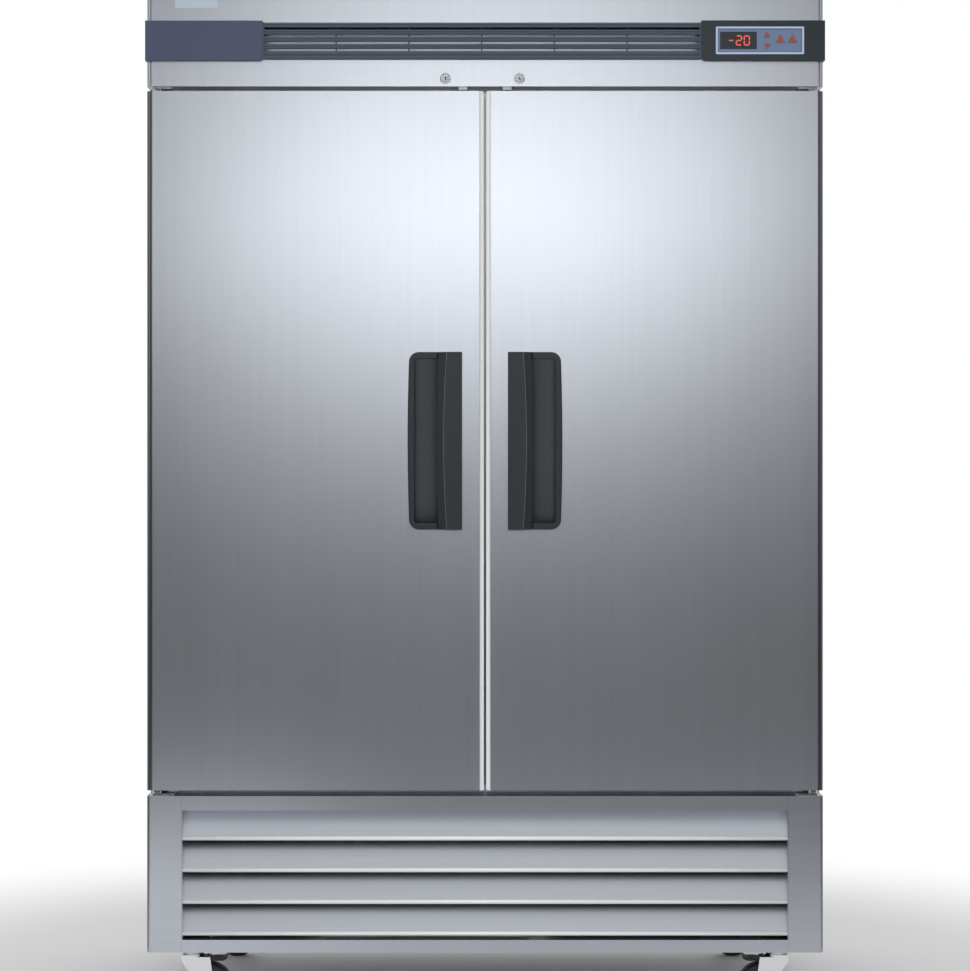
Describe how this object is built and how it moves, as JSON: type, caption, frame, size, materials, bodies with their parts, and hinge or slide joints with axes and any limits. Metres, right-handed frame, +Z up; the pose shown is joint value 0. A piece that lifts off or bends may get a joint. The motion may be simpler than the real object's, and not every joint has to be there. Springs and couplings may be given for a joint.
{
  "type": "laboratory freezer",
  "caption": "Tall stainless-steel laboratory freezer with paired solid doors, recessed pull handles, a control fascia above and a louvred base on swivel casters.",
  "frame": {"origin": "on the floor under the middle of the whole freezer", "axes": "+Z up, +X to the right of someone facing the doors, doors on the -Y side"},
  "size_m": [1.379, 0.812, 2.1],
  "materials": {
    "cabinet_shell": "brushed stainless sheet",
    "cabinet_foam": "rigid insulating foam",
    "inner_liner": "fine brushed stainless",
    "back_panel": "galvanised sheet",
    "cord_gland": "black moulded",
    "centre_mullion": "brushed stainless",
    "breaker_trim": "off-white extrusion",
    "shelf_pilasters": "plain stainless",
    "shelf_clips": "plated",
    "wire_shelves": "epoxy coated wire",
    "header_panel": "brushed stainless",
    "vent_grille": "satin grey moulding",
    "fascia_end_plate": "satin blue-grey moulding",
    "control_housing": "satin near-black moulding",
    "control_faceplate": "blue membrane",
    "display_window": "dark window",
    "lock_barrels": "polished",
    "left_lock_plug": "polished",
    "right_lock_plug": "polished",
    "door_sensors": "white moulding",
    "hinge_brackets": "polished",
    "base_frame": "brushed stainless",
    "louvre_panel": "brushed stainless",
    "condenser_coil": "plain fins",
    "condenser_shroud": "black powder coat",
    "condenser_fan": "plain aluminium",
    "fan_motors": "black",
    "compressor": "black enamel",
    "drain_pan": "plain",
    "refrigerant_lines": "copper-coloured tube",
    "evaporator_cover": "plain stainless",
    "evaporator_coil": "plain fins",
    "evaporator_fan": "plain aluminium",
    "button_up": "red-brown key",
    "button_down": "red-brown key",
    "button_set": "red-brown key",
    "button_light": "red-brown key",
    "caster_plates": "zinc plated",
    "left_door_skin": "brushed stainless",
    "left_door_core": "rigid insulating foam",
    "left_door_liner": "fine brushed stainless",
    "left_door_gasket": "grey magnetic gasket",
    "left_door_handle_pocket": "black moulding",
    "left_door_handle_grip": "black moulding",
    "right_door_skin": "brushed stainless",
    "right_door_core": "rigid insulating foam",
    "right_door_liner": "fine brushed stainless",
    "right_door_gasket": "grey magnetic gasket",
    "right_door_handle_pocket": "black moulding",
    "right_door_handle_grip": "black moulding",
    "front_left_fork": "plated",
    "front_left_wheel": "black nylon",
    "front_left_pedal": "black moulding",
    "front_right_fork": "plated",
    "front_right_wheel": "black nylon",
    "front_right_pedal": "black moulding",
    "rear_left_fork": "plated",
    "rear_left_wheel": "black nylon",
    "rear_right_fork": "plated",
    "rear_right_wheel": "black nylon"
  },
  "bodies": {
    "cabinet": {"cabinet_shell": "cabinet_shell", "cabinet_foam": "cabinet_foam", "inner_liner": "inner_liner", "back_panel": "back_panel", "cord_gland": "cord_gland", "centre_mullion": "centre_mullion", "breaker_trim": "breaker_trim", "shelf_pilasters": "shelf_pilasters", "shelf_clips": "shelf_clips", "wire_shelves": "wire_shelves", "header_panel": "header_panel", "vent_grille": "vent_grille", "fascia_end_plate": "fascia_end_plate", "control_housing": "control_housing", "control_faceplate": "control_faceplate", "display_window": "display_window", "lock_barrels": "lock_barrels", "door_sensors": "door_sensors", "hinge_brackets": "hinge_brackets", "base_frame": "base_frame", "louvre_panel": "louvre_panel", "condenser_coil": "condenser_coil", "condenser_shroud": "condenser_shroud", "fan_motors": "fan_motors", "compressor": "compressor", "drain_pan": "drain_pan", "refrigerant_lines": "refrigerant_lines", "evaporator_cover": "evaporator_cover", "evaporator_coil": "evaporator_coil", "caster_plates": "caster_plates"},
    "left_door": {"left_door_skin": "left_door_skin", "left_door_core": "left_door_core", "left_door_liner": "left_door_liner", "left_door_gasket": "left_door_gasket", "left_door_handle_pocket": "left_door_handle_pocket", "left_door_handle_grip": "left_door_handle_grip"},
    "right_door": {"right_door_skin": "right_door_skin", "right_door_core": "right_door_core", "right_door_liner": "right_door_liner", "right_door_gasket": "right_door_gasket", "right_door_handle_pocket": "right_door_handle_pocket", "right_door_handle_grip": "right_door_handle_grip"},
    "left_lock_plug": {"left_lock_plug": "left_lock_plug"},
    "right_lock_plug": {"right_lock_plug": "right_lock_plug"},
    "condenser_fan": {"condenser_fan": "condenser_fan"},
    "evaporator_fan": {"evaporator_fan": "evaporator_fan"},
    "button_up": {"button_up": "button_up"},
    "button_down": {"button_down": "button_down"},
    "button_set": {"button_set": "button_set"},
    "button_light": {"button_light": "button_light"},
    "front_left_fork": {"front_left_fork": "front_left_fork"},
    "front_left_wheel": {"front_left_wheel": "front_left_wheel"},
    "front_left_pedal": {"front_left_pedal": "front_left_pedal"},
    "front_right_fork": {"front_right_fork": "front_right_fork"},
    "front_right_wheel": {"front_right_wheel": "front_right_wheel"},
    "front_right_pedal": {"front_right_pedal": "front_right_pedal"},
    "rear_left_fork": {"rear_left_fork": "rear_left_fork"},
    "rear_left_wheel": {"rear_left_wheel": "rear_left_wheel"},
    "rear_right_fork": {"rear_right_fork": "rear_right_fork"},
    "rear_right_wheel": {"rear_right_wheel": "rear_right_wheel"}
  },
  "joints": [
    {"name": "left_door_hinge", "type": "hinge", "parent": "cabinet", "child": "left_door", "pos_m": [-0.6675, -0.369, 1.17], "axis": [0, 0, -1], "range_deg": [0, 110]},
    {"name": "right_door_hinge", "type": "hinge", "parent": "cabinet", "child": "right_door", "pos_m": [0.6675, -0.369, 1.17], "axis": [0, 0, 1], "range_deg": [0, 110]},
    {"name": "left_lock_turn", "type": "hinge", "parent": "cabinet", "child": "left_lock_plug", "pos_m": [-0.0805, -0.394, 1.9057], "axis": [0, -1, 0], "range_deg": [0, 90]},
    {"name": "right_lock_turn", "type": "hinge", "parent": "cabinet", "child": "right_lock_plug", "pos_m": [0.0704, -0.394, 1.9057], "axis": [0, 1, 0], "range_deg": [0, 90]},
    {"name": "condenser_fan_spin", "type": "hinge", "parent": "cabinet", "child": "condenser_fan", "pos_m": [-0.12, -0.227, 0.27], "axis": [0, 1, 0], "continuous": true},
    {"name": "evaporator_fan_spin", "type": "hinge", "parent": "cabinet", "child": "evaporator_fan", "pos_m": [0, -0.178, 1.94], "axis": [0, 1, 0], "continuous": true},
    {"name": "button_up_press", "type": "slide", "parent": "cabinet", "child": "button_up", "axis": [0, 1, 0], "range_m": [0, 0.0008], "stiffness_N_per_m": 400},
    {"name": "button_down_press", "type": "slide", "parent": "cabinet", "child": "button_down", "axis": [0, 1, 0], "range_m": [0, 0.0008], "stiffness_N_per_m": 400},
    {"name": "button_set_press", "type": "slide", "parent": "cabinet", "child": "button_set", "axis": [0, 1, 0], "range_m": [0, 0.0008], "stiffness_N_per_m": 400},
    {"name": "button_light_press", "type": "slide", "parent": "cabinet", "child": "button_light", "axis": [0, 1, 0], "range_m": [0, 0.0008], "stiffness_N_per_m": 400},
    {"name": "front_left_swivel", "type": "hinge", "parent": "cabinet", "child": "front_left_fork", "pos_m": [-0.6, -0.324, 0.116], "axis": [0, 0, 1], "continuous": true},
    {"name": "front_left_roll", "type": "hinge", "parent": "front_left_fork", "child": "front_left_wheel", "pos_m": [-0.568, -0.324, 0.05], "axis": [0, 1, 0], "continuous": true},
    {"name": "front_left_brake", "type": "hinge", "parent": "front_left_fork", "child": "front_left_pedal", "pos_m": [-0.571, -0.324, 0.1085], "axis": [0, 1, 0], "range_deg": [0, 18], "stiffness_Nm_per_rad": 2, "springref_deg": -2.86},
    {"name": "front_right_swivel", "type": "hinge", "parent": "cabinet", "child": "front_right_fork", "pos_m": [0.6, -0.324, 0.116], "axis": [0, 0, 1], "continuous": true},
    {"name": "front_right_roll", "type": "hinge", "parent": "front_right_fork", "child": "front_right_wheel", "pos_m": [0.568, -0.324, 0.05], "axis": [0, 1, 0], "continuous": true},
    {"name": "front_right_brake", "type": "hinge", "parent": "front_right_fork", "child": "front_right_pedal", "pos_m": [0.571, -0.324, 0.1085], "axis": [0, -1, 0], "range_deg": [0, 18], "stiffness_Nm_per_rad": 2, "springref_deg": -2.86},
    {"name": "rear_left_swivel", "type": "hinge", "parent": "cabinet", "child": "rear_left_fork", "pos_m": [-0.6, 0.325, 0.116], "axis": [0, 0, 1], "continuous": true},
    {"name": "rear_left_roll", "type": "hinge", "parent": "rear_left_fork", "child": "rear_left_wheel", "pos_m": [-0.568, 0.325, 0.05], "axis": [0, 1, 0], "continuous": true},
    {"name": "rear_right_swivel", "type": "hinge", "parent": "cabinet", "child": "rear_right_fork", "pos_m": [0.6, 0.325, 0.116], "axis": [0, 0, 1], "continuous": true},
    {"name": "rear_right_roll", "type": "hinge", "parent": "rear_right_fork", "child": "rear_right_wheel", "pos_m": [0.568, 0.325, 0.05], "axis": [0, 1, 0], "continuous": true}
  ]
}
